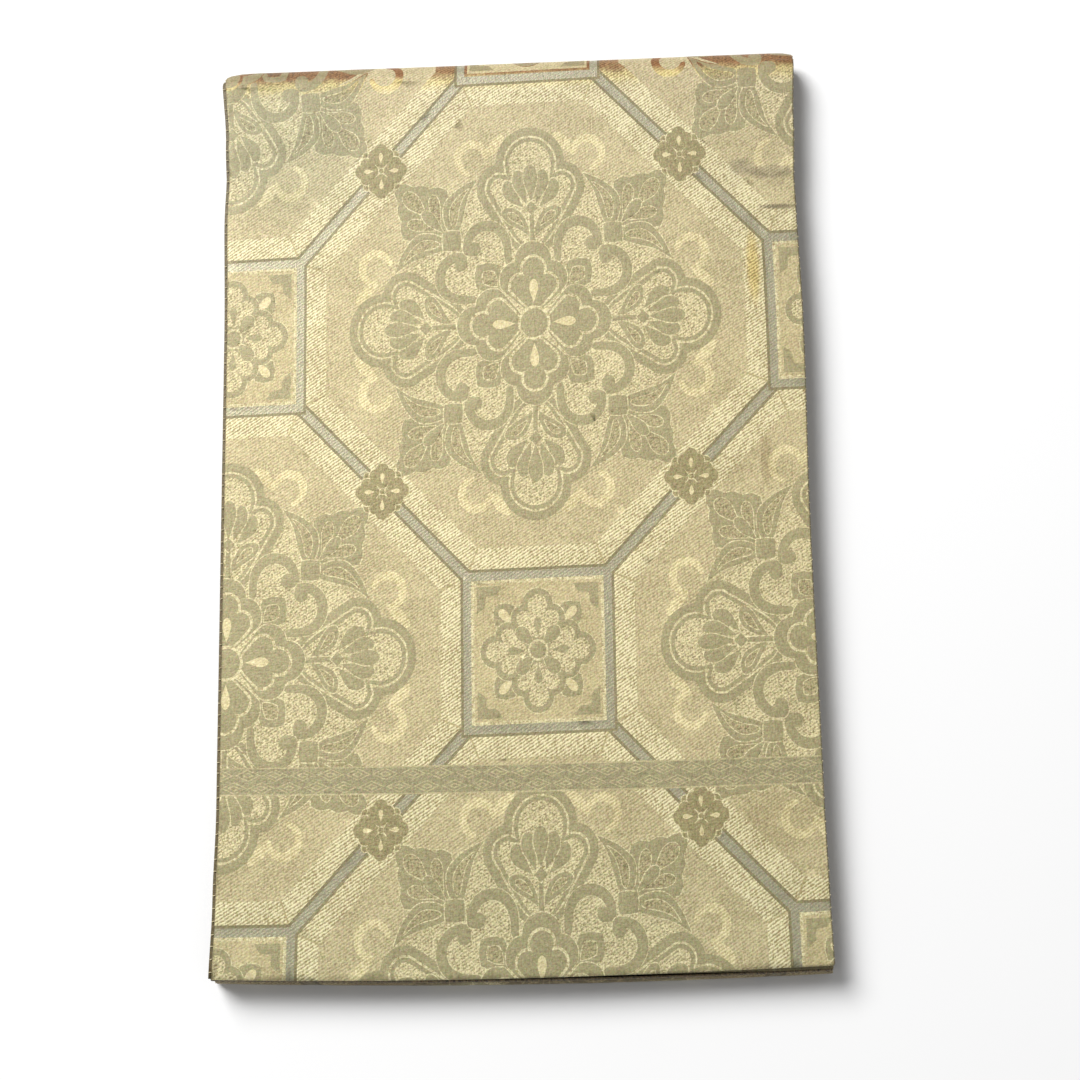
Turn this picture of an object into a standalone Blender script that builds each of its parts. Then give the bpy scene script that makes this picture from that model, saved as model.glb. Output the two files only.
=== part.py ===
"""An obi sash, folded by halving into eight double layers and laid flat.

The obi is two long strips, a brocade face cloth and a plain back cloth, joined along both long
sides. Halving it three times leaves both ends and three folds at the near edge and four nested
folds at the far edge. What shows is the outer wrap: the top layer with its finished end, the far
fold, the underside and the near fold. The layers in between are one solid, layered at its edges.

Metres, +Z up. X runs across the cloth, +Y towards the far fold, and the underside lies at Z = 0.
"""
import math

import bmesh
import bpy

for thing in list(bpy.data.objects):
    bpy.data.objects.remove(thing, do_unlink=True)

# Sizes of the obi and of its fold
CLOTH_WIDTH = 0.3100
FOLDED_LENGTH = 0.4982
STACK_HEIGHT = 0.0180
CLOTH_WALL = 0.0010
SEAM_GAP = 0.0003

# The far fold is half an ellipse in section, and the near fold of layers 5 and 8 half a circle
FAR_FOLD_DEPTH = 0.0120
NEAR_FOLD_HEIGHT = 0.0089
NEAR_FOLD_LEG = 0.0080

# How far each edge of the near side lies from the origin, before the cloth bows outwards
TOP_END_Y = -0.2420
NEAR_FOLD_Y = -0.2463
NEAR_BOW = 0.0028

# The back cloth shows beside the face cloth along the left seam
LEFT_SEAM_SHOWS = 0.0018
RIGHT_SEAM_SHOWS = 0.0005
HIDDEN_SIDE_INSET = 0.0008
GROOVE_DEPTH = 0.0025
EDGE_ROUNDING = 0.0005
NOSE_GAP = 0.0012

# The far fold rounds off at its two ends: the share of its depth lost there, and over what width
FAR_CORNER_WIDTH = 0.012
FAR_CORNER_LOSS_LEFT = 0.45
FAR_CORNER_LOSS_RIGHT = 0.20

HALF_WIDTH = CLOTH_WIDTH / 2
FAR_FOLD_Y = FOLDED_LENGTH / 2 - FAR_FOLD_DEPTH
HALF_HEIGHT = STACK_HEIGHT / 2
NEAR_RADIUS = NEAR_FOLD_HEIGHT / 2
BACK_OUTER = CLOTH_WALL + SEAM_GAP
BACK_INNER = BACK_OUTER + CLOTH_WALL
TOP_LAYER_FLOOR = STACK_HEIGHT - BACK_INNER - SEAM_GAP

# Where the long sides stand out past the nominal width: station, left side, right side
SIDE_FLARE = (
    (-0.2491, 0.0030, 0.0018),
    (-0.2050, 0.0014, 0.0010),
    (-0.1600, 0.0002, 0.0004),
    (-0.0200, 0.0001, 0.0000),
    (0.0950, 0.0000, -0.0014),
    (0.1600, -0.0008, -0.0004),
    (0.2050, 0.0008, 0.0012),
    (0.2491, 0.0036, 0.0028),
)

# Air caught under the top layer, as soft rises: centre x, centre y, reach x, reach y, height
TOP_RISES = (
    (0.000, 0.000, 0.130, 0.200, 0.0009),
    (-0.085, 0.165, 0.050, 0.060, 0.0005),
    (0.095, 0.120, 0.045, 0.090, 0.0006),
    (-0.060, -0.150, 0.070, 0.060, 0.0005),
    (0.105, -0.110, 0.040, 0.070, 0.0006),
)

# The hidden layers from the bottom up: underside, top, near edge, where the near edge is a fold,
# and how far the layer is shifted to the right
HIDDEN_LAYERS = (
    (0.0026, 0.0043, -0.2436, "fold lower", 0.0002),
    (0.0046, 0.0063, -0.2436, "fold upper", -0.0004),
    (0.0066, 0.0089, -0.2330, "butt", 0.0003),
    (0.0092, 0.0110, -0.2448, "fold lower", -0.0002),
    (0.0113, 0.0132, -0.2448, "fold upper", 0.0004),
    (0.0135, 0.0154, -0.2434, "end", -0.0003),
)

# Stations across the cloth, as shares of the half width
ACROSS = (-1.0, -0.994, -0.98, -0.95, -0.85, -0.6, -0.3, 0.0, 0.3, 0.6, 0.85, 0.95, 0.98, 0.994, 1.0)
ALONG_STEPS = 14
FOLD_STEPS = 12


def smooth(value):
    """Ease from 0 to 1 with level ends."""
    value = min(1.0, max(0.0, value))
    return value * value * (3.0 - 2.0 * value)


def side_flare(y, column):
    """How far a long side stands out at y; column 1 is the left side and 2 the right."""
    for near, far in zip(SIDE_FLARE, SIDE_FLARE[1:]):
        if y <= far[0]:
            blend = smooth((y - near[0]) / (far[0] - near[0]))
            return near[column] + (far[column] - near[column]) * blend
    return SIDE_FLARE[-1][column]


def top_rise(x, y):
    """Height of the air under the top layer, none at its edges."""
    rise = sum(
        height * math.exp(-((x - cx) / rx) ** 2 - ((y - cy) / ry) ** 2)
        for cx, cy, rx, ry, height in TOP_RISES
    )
    inside = (1.0 - (x / HALF_WIDTH) ** 6) * smooth((FAR_FOLD_Y - y) / 0.05) * smooth((y + 0.25) / 0.04)
    return max(0.0, rise * inside)


def far_corner_loss(x):
    """Share of the far fold's depth that is lost near its left and right ends."""
    total = 0.0
    for inward, loss in ((x + HALF_WIDTH, FAR_CORNER_LOSS_LEFT), (HALF_WIDTH - x, FAR_CORNER_LOSS_RIGHT)):
        outwards = min(1.0, max(0.0, 1.0 - inward / FAR_CORNER_WIDTH))
        total += loss * (1.0 - math.sqrt(1.0 - outwards * outwards))
    return total


def lay(x, y, z):
    """Move a point of the straight fold to where the soft cloth really lies."""
    share = x / HALF_WIDTH
    flare = side_flare(y, 2 if x > 0 else 1) * abs(share) ** 3
    nearness = max(0.0, (FAR_FOLD_Y - y) / (FAR_FOLD_Y - NEAR_FOLD_Y))
    bowed_y = y - NEAR_BOW * max(0.0, 1.0 - share * share) * nearness**4
    if y > FAR_FOLD_Y:
        bowed_y = FAR_FOLD_Y + (y - FAR_FOLD_Y) * (1.0 - far_corner_loss(x))
    lifted = z + top_rise(x, y) if z > TOP_LAYER_FLOOR - SEAM_GAP / 2 else z
    return (x + math.copysign(flare, x), bowed_y, lifted)


def top_line(share):
    """The top layer's outer line, from its end to the far fold: y, z and the outward normal."""
    return TOP_END_Y + (FAR_FOLD_Y - TOP_END_Y) * share, STACK_HEIGHT, 0.0, 1.0


def far_fold_line(share):
    """Half an ellipse, from the top layer round to the underside."""
    angle = math.pi * (0.5 - share)
    normal_y = math.cos(angle) / FAR_FOLD_DEPTH
    normal_z = math.sin(angle) / HALF_HEIGHT
    size = math.hypot(normal_y, normal_z)
    y = FAR_FOLD_Y + FAR_FOLD_DEPTH * math.cos(angle)
    return y, HALF_HEIGHT * (1.0 + math.sin(angle)), normal_y / size, normal_z / size


def underside_line(share):
    """The underside, from the far fold back to the near fold."""
    near = NEAR_FOLD_Y + NEAR_RADIUS
    return FAR_FOLD_Y + (near - FAR_FOLD_Y) * share, 0.0, 0.0, -1.0


def near_fold_line(share):
    """Half a circle up from the underside, then a short leg in between the layers."""
    arc = math.pi * NEAR_RADIUS
    run = share * (arc + NEAR_FOLD_LEG)
    centre = NEAR_FOLD_Y + NEAR_RADIUS
    if run > arc:
        return centre + run - arc, NEAR_FOLD_HEIGHT, 0.0, 1.0
    angle = -math.pi / 2 - run / NEAR_RADIUS
    normal = (math.cos(angle), math.sin(angle))
    return centre + NEAR_RADIUS * normal[0], NEAR_RADIUS * (1.0 + normal[1]), normal[0], normal[1]


def material(name, colour, roughness, metallic):
    """A plain Principled material for one kind of cloth."""
    made = bpy.data.materials.new(name)
    made.use_nodes = True
    shader = made.node_tree.nodes["Principled BSDF"]
    shader.inputs["Base Color"].default_value = (*colour, 1.0)
    shader.inputs["Roughness"].default_value = roughness
    shader.inputs["Metallic"].default_value = metallic
    return made


def add_object(name, bm, finish):
    """Turn a bmesh into a named object with its material, its faces pointing out."""
    bmesh.ops.recalc_face_normals(bm, faces=bm.faces)
    bmesh.ops.triangulate(bm, faces=bm.faces)
    mesh = bpy.data.meshes.new(name)
    bm.to_mesh(mesh)
    bm.free()
    mesh.materials.append(finish)
    made = bpy.data.objects.new(name, mesh)
    bpy.context.scene.collection.objects.link(made)
    return made


def cloth_wall(name, line, steps, trim, left, right, outer, finish):
    """One stretch of one cloth: a wall that follows line, between two depths under its surface.

    trim is the share left off at the start and at the end, for the gap to the next stretch, and
    left and right are how far in from the sides of the obi this cloth ends.
    """
    inner = outer + CLOTH_WALL
    first, last = trim
    bm = bmesh.new()
    skins = []
    for depth in (outer, inner):
        rows = []
        for step in range(steps + 1):
            y, z, normal_y, normal_z = line(first + (last - first) * step / steps)
            row = []
            for share in ACROSS:
                x = left - HALF_WIDTH + (CLOTH_WIDTH - left - right) * (share + 1.0) / 2.0
                row.append(bm.verts.new(lay(x, y - normal_y * depth, z - normal_z * depth)))
            rows.append(row)
        skins.append(rows)
    columns = len(ACROSS)
    for rows in skins:
        for near, far in zip(rows, rows[1:]):
            for i in range(columns - 1):
                bm.faces.new((near[i], near[i + 1], far[i + 1], far[i]))
    top, bottom = skins
    for i in range(columns - 1):
        bm.faces.new((top[0][i], top[0][i + 1], bottom[0][i + 1], bottom[0][i]))
        bm.faces.new((top[-1][i], top[-1][i + 1], bottom[-1][i + 1], bottom[-1][i]))
    for step in range(steps):
        for i in (0, columns - 1):
            bm.faces.new((top[step][i], top[step + 1][i], bottom[step + 1][i], bottom[step][i]))
    return add_object(name, bm, finish)


def far_nose(z):
    """How far the hidden layers reach into the far fold at height z."""
    depth = FAR_FOLD_DEPTH - BACK_INNER - NOSE_GAP
    height = HALF_HEIGHT - BACK_INNER - SEAM_GAP
    level = min(1.0, abs(z - HALF_HEIGHT) / height)
    return FAR_FOLD_Y + depth * math.sqrt(1.0 - level * level)


def near_edge(layer, share, groove):
    """Where a hidden layer's near edge lies, share of the way up through the layer."""
    bottom, top, edge, kind, _ = layer
    if kind == "butt":
        return edge
    if kind == "end":
        return edge + (GROOVE_DEPTH if groove else EDGE_ROUNDING * abs(2.0 * share - 1.0))
    level = 1.0 - share if kind == "fold lower" else share
    radius = top - bottom
    return edge + radius * (1.0 - math.sqrt(1.0 - level * level * 0.98))


def hidden_section(z, near_y, side_inset, shift):
    """One closed outline of the hidden layers, as points in order round the solid."""
    far_y = far_nose(z)
    half = HALF_WIDTH - HIDDEN_SIDE_INSET - side_inset
    right = [(half, near_y + (far_y - near_y) * i / ALONG_STEPS) for i in range(ALONG_STEPS)]
    far = [(half * share, far_y) for share in reversed(ACROSS[1:])]
    left = [(-half, far_y + (near_y - far_y) * i / ALONG_STEPS) for i in range(ALONG_STEPS)]
    near = [(half * share, near_y) for share in ACROSS[:-1]]
    return [lay(x + shift, y, z) for x, y in right + far + left + near]


def hidden_layers(name, finish):
    """The six layers inside the wrap: one solid whose edges are drawn in between layers."""
    sections = []
    for number, layer in enumerate(HIDDEN_LAYERS):
        bottom, top, _, _, shift = layer
        for share, inset in ((0.0, EDGE_ROUNDING), (0.5, 0.0), (1.0, EDGE_ROUNDING)):
            z = bottom + (top - bottom) * share
            sections.append(hidden_section(z, near_edge(layer, share, False), inset, shift))
        if number + 1 < len(HIDDEN_LAYERS):
            z = top + SEAM_GAP / 2
            above = HIDDEN_LAYERS[number + 1]
            near_y = max(near_edge(layer, 1.0, True), near_edge(above, 0.0, True))
            if layer[3] == "fold lower":
                near_y = layer[2]
            elif "butt" not in (layer[3], above[3]):
                near_y = max(layer[2], above[2]) + GROOVE_DEPTH
            sections.append(hidden_section(z, near_y, GROOVE_DEPTH, shift))
    bm = bmesh.new()
    loops = [[bm.verts.new(point) for point in section] for section in sections]
    count = len(loops[0])
    for low, high in zip(loops, loops[1:]):
        for i in range(count):
            j = (i + 1) % count
            bm.faces.new((low[i], low[j], high[j], high[i]))
    for loop in (loops[0], loops[-1]):
        centre_y = sum(vert.co.y for vert in loop) / count
        centre = bm.verts.new((0.0, centre_y, loop[0].co.z))
        for i in range(count):
            bm.faces.new((loop[i], loop[(i + 1) % count], centre))
    return add_object(name, bm, finish)


face = material("face_brocade", (0.46, 0.43, 0.27), 0.42, 0.35)
back = material("back_cloth", (0.30, 0.27, 0.16), 0.60, 0.10)
inside = material("inner_layers", (0.36, 0.33, 0.20), 0.60, 0.15)

# Each stretch of the wrap: name, line, steps, share left off at each end
far_gap = SEAM_GAP / (2 * FAR_FOLD_DEPTH)
near_gap = SEAM_GAP / (math.pi * NEAR_RADIUS + NEAR_FOLD_LEG)
STRETCHES = (
    ("top", top_line, ALONG_STEPS, (0.0, 1.0)),
    ("far_fold", far_fold_line, FOLD_STEPS, (far_gap, 1.0 - far_gap)),
    ("underside", underside_line, ALONG_STEPS, (0.0, 1.0)),
    ("near_fold", near_fold_line, FOLD_STEPS, (near_gap, 1.0)),
)
for place, line, steps, trim in STRETCHES:
    cloth_wall("face_" + place, line, steps, trim, LEFT_SEAM_SHOWS, RIGHT_SEAM_SHOWS, 0.0, face)
    cloth_wall("back_" + place, line, steps, trim, 0.0, 0.0, BACK_OUTER, back)
hidden_layers("hidden_layers", inside)
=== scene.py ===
"""An obi sash of figured brocade, folded into eight double layers and laid flat.

Metres, +Z up. X runs across the cloth, +Y towards the far fold, and the underside lies at Z = 0.
The sections follow the sash as it is folded: the hidden layers, the back cloth, the brocade face
cloth below and above, and the seam stitches. The floor, the light and the camera come last.
"""

import bisect
import math

import bpy
from mathutils import Matrix, Vector, noise
from mathutils.geometry import delaunay_2d_cdt


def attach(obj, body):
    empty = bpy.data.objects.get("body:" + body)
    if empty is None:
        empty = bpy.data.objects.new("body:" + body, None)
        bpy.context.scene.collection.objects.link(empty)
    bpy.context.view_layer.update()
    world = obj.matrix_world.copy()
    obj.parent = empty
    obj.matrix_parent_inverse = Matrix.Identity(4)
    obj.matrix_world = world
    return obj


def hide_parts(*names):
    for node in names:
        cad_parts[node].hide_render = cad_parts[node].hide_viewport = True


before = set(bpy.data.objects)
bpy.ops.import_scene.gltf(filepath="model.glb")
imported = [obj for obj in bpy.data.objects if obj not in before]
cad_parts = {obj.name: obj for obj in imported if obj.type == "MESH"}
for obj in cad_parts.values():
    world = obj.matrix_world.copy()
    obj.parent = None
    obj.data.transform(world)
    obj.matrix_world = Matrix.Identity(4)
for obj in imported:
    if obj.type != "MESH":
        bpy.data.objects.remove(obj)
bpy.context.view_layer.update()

# ------------------------------------------------------------------------------------------
# Hidden layers: the rest of the sash between the top layer and the underside. It is one long
# ribbon of two cloths, sewn together along both long sides and folded back and forth, so its
# near edges are a cut end and folds, and its far edges are folds that lie inside each other.
# ------------------------------------------------------------------------------------------
CLOTH_WIDTH = 0.3100
FOLDED_LENGTH = 0.4982
STACK_HEIGHT = 0.0180
FAR_FOLD_DEPTH = 0.0120
NEAR_FOLD_HEIGHT = 0.0089
NEAR_FOLD_LEG = 0.0080
TOP_END_Y = -0.2420
NEAR_FOLD_Y = -0.2463
NEAR_BOW = 0.0028
FAR_CORNER_WIDTH = 0.012
FAR_CORNER_LOSS_LEFT = 0.45
FAR_CORNER_LOSS_RIGHT = 0.20
HALF_WIDTH = CLOTH_WIDTH / 2
HALF_HEIGHT = STACK_HEIGHT / 2
FAR_FOLD_Y = FOLDED_LENGTH / 2 - FAR_FOLD_DEPTH
NEAR_RADIUS = NEAR_FOLD_HEIGHT / 2
TOP_LAYER_FLOOR = 0.0154

# Where the long sides stand out past the nominal width: station, left side, right side
SIDE_FLARE = (
    (-0.2491, 0.0030, 0.0018),
    (-0.2050, 0.0014, 0.0010),
    (-0.1600, 0.0002, 0.0004),
    (-0.0200, 0.0001, 0.0000),
    (0.0950, 0.0000, -0.0014),
    (0.1600, -0.0008, -0.0004),
    (0.2050, 0.0008, 0.0012),
    (0.2491, 0.0036, 0.0028),
)

# Air caught under the top layer, as soft rises: centre x, centre y, reach x, reach y, height
TOP_RISES = (
    (0.000, 0.000, 0.130, 0.200, 0.0009),
    (-0.085, 0.165, 0.050, 0.060, 0.0005),
    (0.095, 0.120, 0.045, 0.090, 0.0006),
    (-0.060, -0.150, 0.070, 0.060, 0.0005),
    (0.105, -0.110, 0.040, 0.070, 0.0006),
)


def smooth(value):
    """Ease from 0 to 1 with level ends."""
    value = min(1.0, max(0.0, value))
    return value * value * (3.0 - 2.0 * value)


def side_flare(y, column):
    """How far a long side stands out at y; column 1 is the left side and 2 the right."""
    for near, far in zip(SIDE_FLARE, SIDE_FLARE[1:]):
        if y <= far[0]:
            blend = smooth((y - near[0]) / (far[0] - near[0]))
            return near[column] + (far[column] - near[column]) * blend
    return SIDE_FLARE[-1][column]


def top_rise(x, y):
    """Height of the air under the top layer, none at its edges."""
    rise = sum(
        height * math.exp(-((x - cx) / rx) ** 2 - ((y - cy) / ry) ** 2)
        for cx, cy, rx, ry, height in TOP_RISES
    )
    inside = (1.0 - (x / HALF_WIDTH) ** 6) * smooth((FAR_FOLD_Y - y) / 0.05) * smooth((y + 0.25) / 0.04)
    return max(0.0, rise * inside)


def far_corner_loss(x):
    """Share of the far fold's depth that is lost near its left and right ends."""
    total = 0.0
    for inward, loss in ((x + HALF_WIDTH, FAR_CORNER_LOSS_LEFT), (HALF_WIDTH - x, FAR_CORNER_LOSS_RIGHT)):
        outwards = min(1.0, max(0.0, 1.0 - inward / FAR_CORNER_WIDTH))
        total += loss * (1.0 - math.sqrt(1.0 - outwards * outwards))
    return total


def lay(x, y, z):
    """Move a point of the straight fold to where the soft cloth really lies."""
    share = x / HALF_WIDTH
    flare = side_flare(y, 2 if x > 0 else 1) * abs(share) ** 3
    nearness = max(0.0, (FAR_FOLD_Y - y) / (FAR_FOLD_Y - NEAR_FOLD_Y))
    bowed_y = y - NEAR_BOW * max(0.0, 1.0 - share * share) * nearness**4
    if y > FAR_FOLD_Y:
        bowed_y = FAR_FOLD_Y + (y - FAR_FOLD_Y) * (1.0 - far_corner_loss(x))
    lifted = z + top_rise(x, y) if z > TOP_LAYER_FLOOR else z
    return Vector((x + math.copysign(flare, x), bowed_y, lifted))


# Creases pressed into the top layer: from x, y to x, y, height (a trough is negative), half width
CREASES = (
    (-0.1520, 0.2200, -0.1380, 0.2350, -0.0003, 0.0040),
    (0.1260, 0.1680, 0.1560, 0.1650, -0.0010, 0.0050),
    (0.1190, 0.1745, 0.1280, 0.1705, -0.0006, 0.0035),
    (0.1340, 0.1478, 0.1560, 0.1478, -0.0008, 0.0030),
    (0.1200, 0.0120, 0.1460, 0.0040, -0.0006, 0.0045),
    (-0.1540, 0.1550, -0.1300, 0.1750, 0.0006, 0.0080),
    (-0.1500, 0.2000, -0.1100, 0.2120, 0.0004, 0.0080),
    (0.0300, 0.2150, 0.1000, 0.2230, 0.0003, 0.0060),
    (-0.1400, -0.2200, -0.1100, -0.2050, -0.0003, 0.0070),
    (0.1200, -0.2180, 0.1480, -0.2000, -0.0004, 0.0060),
    (-0.0500, 0.0900, 0.0300, 0.0700, 0.0002, 0.0120),
    (0.0200, -0.1300, 0.1000, -0.1450, 0.0002, 0.0120),
)


def crease_height(x, y):
    """Height of all the creases at a point of the top layer."""
    total = 0.0
    for x0, y0, x1, y1, height, width in CREASES:
        dx, dy = x1 - x0, y1 - y0
        length = math.hypot(dx, dy)
        along = ((x - x0) * dx + (y - y0) * dy) / length
        across = ((x - x0) * dy - (y - y0) * dx) / length
        past = max(0.0, -along, along - length)
        if past < 3 * width and abs(across) < 3 * width:
            total += height * math.exp(-((across / width) ** 2) - (past / width) ** 2)
    return total


RIBBON_WIDTH = 0.3084
RIBBON_WALL = 0.0009
RIBBON_GROOVE = 0.0016
RUN_STEP = 0.008
FOLD_POINTS = 10
SIDE_POINTS = 5
SIDE_WOBBLE = 0.0005
SEAM_WOBBLE = 0.0003
SEAM_ZONE = 0.15
SIDE_INSET = 0.0020
# Above this height lies the ribbon's upper face, and this is the gap between it and the top layer
RIBBON_TOP = 0.0152
TOP_LAYER_GAP = 0.00035

# The ribbon's middle line, layer by layer from its cut end: height, near edge, far fold's reach
RIBBON_LAYERS = (
    (0.01445, -0.2434, 0.0082),
    (0.00345, -0.2427, 0.0082),
    (0.00545, -0.2427, 0.0058),
    (0.01225, -0.2439, 0.0058),
    (0.01010, -0.2439, 0.0034),
    (0.00775, -0.2330, 0.0034),
)


def half_turn(y, z_from, z_to, reach):
    """Points round a fold, from one layer's height to the next."""
    middle, half = (z_from + z_to) / 2, (z_from - z_to) / 2
    turned = []
    for step in range(1, FOLD_POINTS):
        angle = math.pi * step / FOLD_POINTS
        turned.append((y + reach * math.sin(angle), middle + half * math.cos(angle)))
    return turned


def straight_run(y_from, y_to, z):
    """Points along one layer, both ends included."""
    count = max(2, round(abs(y_to - y_from) / RUN_STEP))
    return [(y_from + (y_to - y_from) * step / count, z) for step in range(count + 1)]


def ribbon_line():
    """The hidden ribbon's middle line, as y and z, from its cut end to the near fold's leg."""
    line = []
    for number, (z, near, reach) in enumerate(RIBBON_LAYERS):
        outward = number % 2 == 0
        fold_near = near + (0.0 if number == 0 else 0.001)
        run = straight_run(fold_near, FAR_FOLD_Y, z)
        line += run if outward else list(reversed(run))
        if number + 1 < len(RIBBON_LAYERS):
            next_z = RIBBON_LAYERS[number + 1][0]
            if outward:
                line += half_turn(FAR_FOLD_Y, z, next_z, reach)
            else:
                line += half_turn(fold_near, z, next_z, -0.001)
    return line


def side_profile(half, wall, groove):
    """A sewn side of two cloths, from the upper face round to the lower: across and depth."""
    centre, radius = half - wall / 2, wall / 2
    points = []
    for level in (radius, -radius):
        for step in range(SIDE_POINTS + 1):
            angle = math.pi * (0.5 - step / SIDE_POINTS)
            points.append((centre + radius * math.cos(angle), level + radius * math.sin(angle)))
        if level > 0:
            points[-1] = (half - groove, 0.0)
    return points


def side_shift(travelled):
    """How far the ribbon strays sideways, travelled metres along it."""
    return SIDE_WOBBLE * noise.noise(Vector((travelled * 9.0, 3.7, 0.0)))


def tube_mesh(name, rings, splits=None):
    """A closed tube through rings of points, with flat ends; splits gives each strip's material."""
    count = len(rings[0])
    points = [tuple(point) for ring in rings for point in ring]
    faces, slots = [], []
    for number in range(len(rings) - 1):
        low, high = number * count, (number + 1) * count
        for i in range(count):
            j = (i + 1) % count
            faces.append((low + i, low + j, high + j, high + i))
            slots.append(splits[i] if splits else 0)
    faces.append(tuple(reversed(range(count))))
    faces.append(tuple(range((len(rings) - 1) * count, len(rings) * count)))
    slots += [0, 0]
    mesh = bpy.data.meshes.new(name)
    mesh.from_pydata(points, [], faces)
    mesh.polygons.foreach_set("material_index", slots)
    mesh.polygons.foreach_set("use_smooth", [True] * len(faces))
    made = bpy.data.objects.new(name, mesh)
    bpy.context.scene.collection.objects.link(made)
    return made


def cloth_uv(made, across_and_along):
    """Give a piece its UV map, metres across and along the cloth, from one pair for each point."""
    layer = made.data.uv_layers.new(name="cloth")
    values = []
    for loop in made.data.loops:
        values += across_and_along[loop.vertex_index]
    layer.data.foreach_set("uv", values)


def linear(red, green, blue):
    """A colour given as a dyer's 0 to 255 chart value, made linear."""
    return tuple(
        value / 12.92 if value <= 0.04045 else ((value + 0.055) / 1.055) ** 2.4
        for value in (red / 255, green / 255, blue / 255)
    )


TWILL_SCALE = 210.0
TWILL_TURN = 57.0

# Painted reflection and painted glint over the far fold: the metal threads turn brown there as a
# painted dark reflection, and yellow just before it as a painted glint. Where its middle is along
# the cloth, how far the brown and the yellow before it reach, and how they tint the threads
FOLD_CREST_RUN = 0.4930
PAINTED_REFLECTION_REACH = 0.0145
PAINTED_REFLECTION_TINT = (0.34, 0.14, 0.08)
PAINTED_GLINT_REACH = 0.0220
PAINTED_GLINT_TINT = (1.00, 0.92, 0.52)
PAINTED_GLINT_SHARE = 0.7

# Painted shade along the left edge, where the cloth turns down into the seam: where it is at full
# strength, where it ends, and its tint
LEFT_SHADE_FROM, LEFT_SHADE_TO = -0.1537, -0.1521
PAINTED_LEFT_EDGE_SHADE = (0.36, 0.32, 0.24)

# Painted sheen and shade along the cloth's length, from the finished end: distance and tint. The
# cloth is lightest part way along and duller towards either end, and the last stop is a painted
# shade over the near fold
PAINTED_SHEEN_AND_SHADE_ALONG = (
    (0.00, (0.85, 0.86, 0.80)),
    (0.10, (0.89, 0.88, 0.81)),
    (0.22, (0.92, 0.90, 0.83)),
    (0.32, (0.90, 0.88, 0.81)),
    (0.44, (0.84, 0.83, 0.79)),
    (0.49, (0.83, 0.81, 0.79)),
    (0.984, (0.84, 0.84, 0.80)),
    (0.993, (0.45, 0.40, 0.32)),
)

# Spots of painted shade and sheen: painted shade in the dents near the right edge and in dull
# patches, and a painted yellow sheen in a narrow strip on the right: distance across and along the
# cloth, half sizes across and along, tint
PAINTED_SHADE_AND_SHEEN_SPOTS = (
    (-0.1200, 0.4450, 0.0500, 0.0600, (0.84, 0.87, 0.88)),
    (0.1420, 0.4190, 0.0170, 0.0050, (0.56, 0.55, 0.56)),
    (0.1260, 0.4225, 0.0080, 0.0060, (0.70, 0.70, 0.72)),
    (0.1450, 0.3990, 0.0130, 0.0018, (0.45, 0.43, 0.42)),
    (0.1300, 0.3650, 0.0045, 0.0260, (0.90, 0.80, 0.52)),
    (0.1330, 0.0700, 0.0260, 0.0180, (0.90, 0.89, 0.86)),
    (0.1330, 0.2590, 0.0040, 0.0180, (0.80, 0.76, 0.72)),
)

# How closely the threads, streaks and patches of the weave lie, in repeats per metre
STREAK_SCALE = 900.0
ROW_SCALE = 950.0
THREAD_SCALE = 850.0
FLOAT_SCALE = 1050.0
GLINT_SCALE = 1000.0
PATCH_SCALE = 45.0
DRIFT_SCALE = 9.0
DRIFT_REACH = 0.16
# the ragged edge of the painted reflection and glint over the far fold
RAGGED_EDGE_SCALE = 160.0
RAGGED_EDGE_REACH = 0.006
WEAVE_BUMP = 0.0003


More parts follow.
